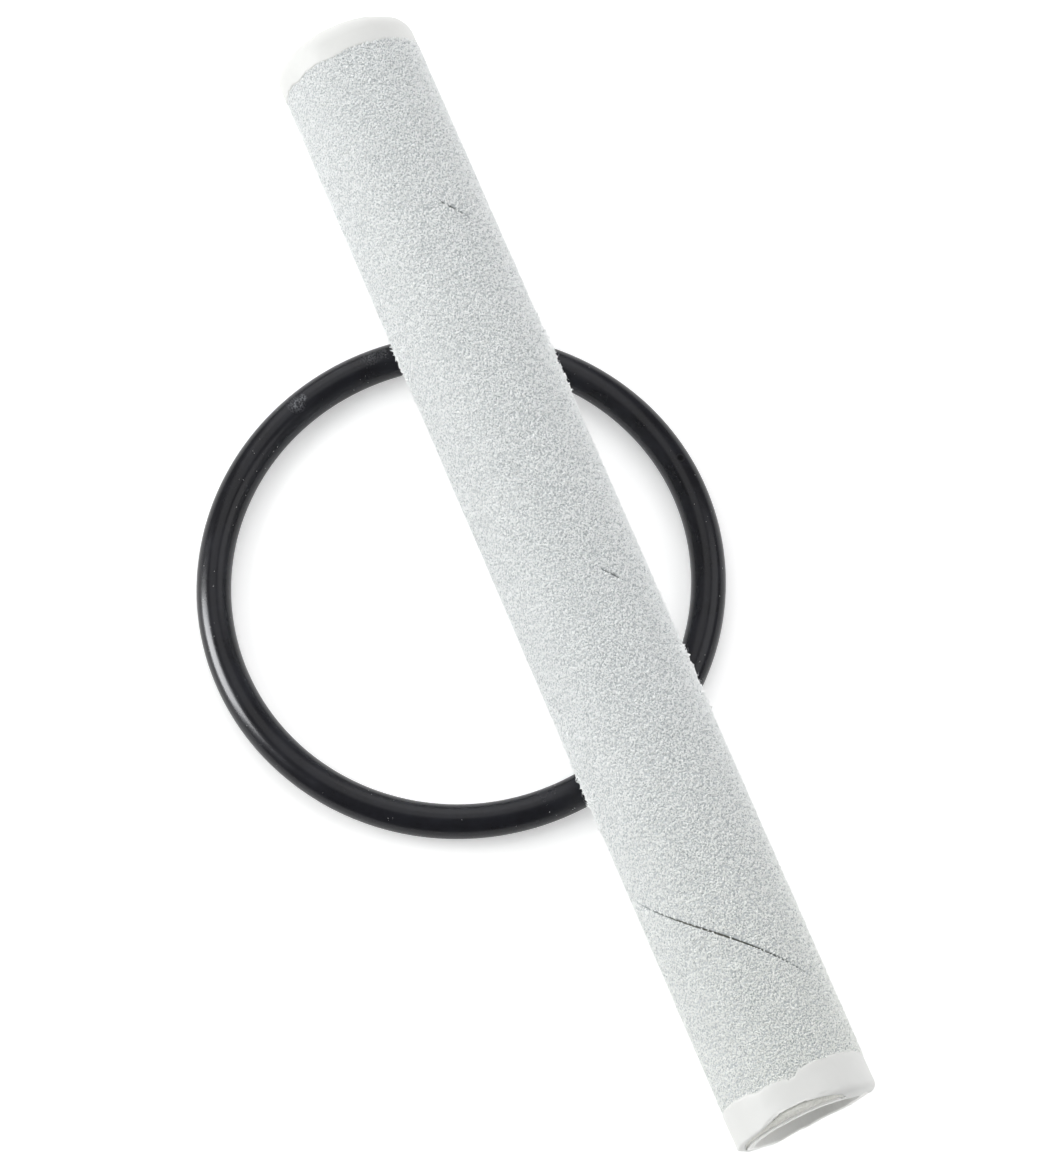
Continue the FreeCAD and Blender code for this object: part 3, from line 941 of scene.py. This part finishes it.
def lintTree():
    tree, given = startTree("lint on rubber", {
        "Density": "Float", "Fleck": "Float", "Smallest": "Float", "Largest": "Float", "Seed": "Int",
        "Finish": "Material"})
    spots = addNode(tree, "GeometryNodeDistributePointsOnFaces", links={
        "Mesh": given["Geometry"], "Density": given["Density"], "Seed": given["Seed"]})
    fleck = addNode(tree, "GeometryNodeMeshIcoSphere", {}, {"Subdivisions": 1}, {"Radius": given["Fleck"]})
    size = addNode(tree, "FunctionNodeRandomValue", {"data_type": "FLOAT"}, {},
                   {2: given["Smallest"], 3: given["Largest"], "Seed": given["Seed"]})
    stretch = addNode(tree, "ShaderNodeVectorMath", {"operation": "SCALE"}, {0: lintSizes["shape"]},
                      {"Scale": size.outputs[1]})
    lean = lintSizes["lean"]
    yaw = addNode(tree, "FunctionNodeRandomValue", {"data_type": "FLOAT_VECTOR"},
                  {0: (-lean, -lean, 0.0), 1: (lean, lean, fullTurn)}, {"Seed": given["Seed"]})
    endTree(tree, given, putOnPoints(tree, spots, spots, yaw, fleck, stretch))
    return tree


def ringLint(ring):
    sizes = lintSizes
    piece = runTree("ringLint", lintTree(), ring.data, {
        "Density": sizes["perSquareMm"] / mm ** 2, "Fleck": sizes["fleckMm"] / 2 * mm,
        "Smallest": sizes["smallest"], "Largest": sizes["largest"], "Seed": sizes["seed"],
        "Finish": lint})
    return fitToFrame(piece, "ring", "rubber_black")


ring = rubberRing()
ringLint(ring)
print("the ring is made")
woundPlies()
foamPiece = foamSleeve()
endBands()
print("the tube, foam and bands are made")
cover = coverStrip()
pileSlices = coverPile(cover) + ruffledPile(cover) + [looseFibres(cover)]
print("the cover and its pile are made")


# The studio: a pale floor, a large soft light on the left, the right, above and past the far end, and a low
# card on the left. The card only shows as a streak in the rubber, and the left softbox only lights.
studio = {
    "floorHex": "ffffff", "floorHalfWidth": 20.0, "floorRoughness": 0.9, "floorSpecular": 0.1,
    "floorGlow": 0.37, "nearAir": 0.27, "farAir": 0.3,
    # name, place in metres from the bar, width and height, watts, colour, what it does
    "lights": [
        ("leftSoftbox", (-0.55, -1.3, 1.0), (1.3, 1.1), 15.5, (0.99, 1.0, 0.99), "lights"),
        ("lowCard", (-0.55, -1.3, 0.62), (0.75, 1.0), 60.0, (0.97, 0.98, 1.0), "shows"),
        ("rightSoftbox", (0.3, 1.3, 1.2), (1.4, 1.3), 9.0, (0.99, 0.99, 1.0), "both"),
        ("topSoftbox", (-0.95, 0.2, 2.2), (1.7, 1.7), 9.5, (1.0, 1.0, 1.0), "both"),
        ("farSoftbox", (-1.5, 0.3, 1.0), (1.6, 1.2), 9.0, (1.0, 1.0, 1.0), "both"),
    ],
}


def studioRoom():
    size = studio["floorHalfWidth"]
    floor = bpy.data.objects.new("floor", bpy.data.meshes.new("floor"))
    corners = [(-size, -size, 0), (size, -size, 0), (size, size, 0), (-size, size, 0)]
    floor.data.from_pydata(corners, [], [(0, 1, 2, 3)])
    finish, tree, shader, place = startFinish("white paper sweep", studio["floorRoughness"])
    shader.inputs["Base Color"].default_value = toLinear(studio["floorHex"])
    shader.inputs["Specular IOR Level"].default_value = studio["floorSpecular"]
    shader.inputs["Emission Color"].default_value = (1, 1, 1, 1)
    shader.inputs["Emission Strength"].default_value = studio["floorGlow"]
    floor.data.materials.append(finish)
    bpy.context.scene.collection.objects.link(floor)
    floor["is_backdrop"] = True
    world = bpy.data.worlds.new("studio air")
    bpy.context.scene.world = world
    world.use_nodes = True
    air = world.node_tree
    side = addNode(air, "ShaderNodeSeparateXYZ", links={
        0: addNode(air, "ShaderNodeTexCoord").outputs["Generated"]})
    level = addNode(air, "ShaderNodeMapRange", values={
        "From Min": 0.6, "From Max": -0.6, "To Min": studio["nearAir"], "To Max": studio["farAir"]},
        links={"Value": side.outputs["X"]})
    air.nodes["Background"].inputs["Color"].default_value = (1, 1, 1, 1)
    air.links.new(level.outputs["Result"], air.nodes["Background"].inputs["Strength"])
    for name, place, (width, height), watts, colour, role in studio["lights"]:
        light = bpy.data.lights.new(name, "AREA")
        light.shape = "RECTANGLE"
        light.size, light.size_y = width, height
        light.energy = watts
        light.color = colour
        lamp = bpy.data.objects.new(name, light)
        lamp.location = place
        lamp.rotation_mode = "QUATERNION"
        lamp.rotation_quaternion = (Vector((0, 0, 0)) - Vector(place)).to_track_quat("-Z", "Y")
        lamp.visible_diffuse = role != "shows"
        lamp.visible_glossy = role != "lights"
        bpy.context.scene.collection.objects.link(lamp)
    bpy.context.scene.view_settings.view_transform = "Standard"


# The camera: nearly overhead, at the open end's side, with a long lens.
cameraSizes = {"place": (0.41787, -0.10209, 1.35453), "target": (-0.00870, 0.01390, 0.0),
               "rollDegrees": 7.42, "lens": 175.15}


def studioCamera():
    sizes = cameraSizes
    camera = bpy.data.objects.new("camera", bpy.data.cameras.new("camera"))
    place = Vector(sizes["place"])
    look = (Vector(sizes["target"]) - place).normalized()
    rollBy = Matrix.Rotation(math.radians(sizes["rollDegrees"]), 4, look)
    aim = look.to_track_quat("-Z", "Y").to_matrix().to_4x4()
    camera.matrix_world = Matrix.Translation(place) @ rollBy @ aim
    camera.data.lens = sizes["lens"]
    camera.data.sensor_width = 36.0
    camera.data.clip_start, camera.data.clip_end = 0.05, 60.0
    bpy.context.scene.collection.objects.link(camera)
    bpy.context.scene.camera = camera


studioRoom()
studioCamera()
print("the studio is ready")
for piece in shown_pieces():
    piece.data.calc_loop_triangles()
    print(piece.name, len(piece.data.loop_triangles), "triangles")
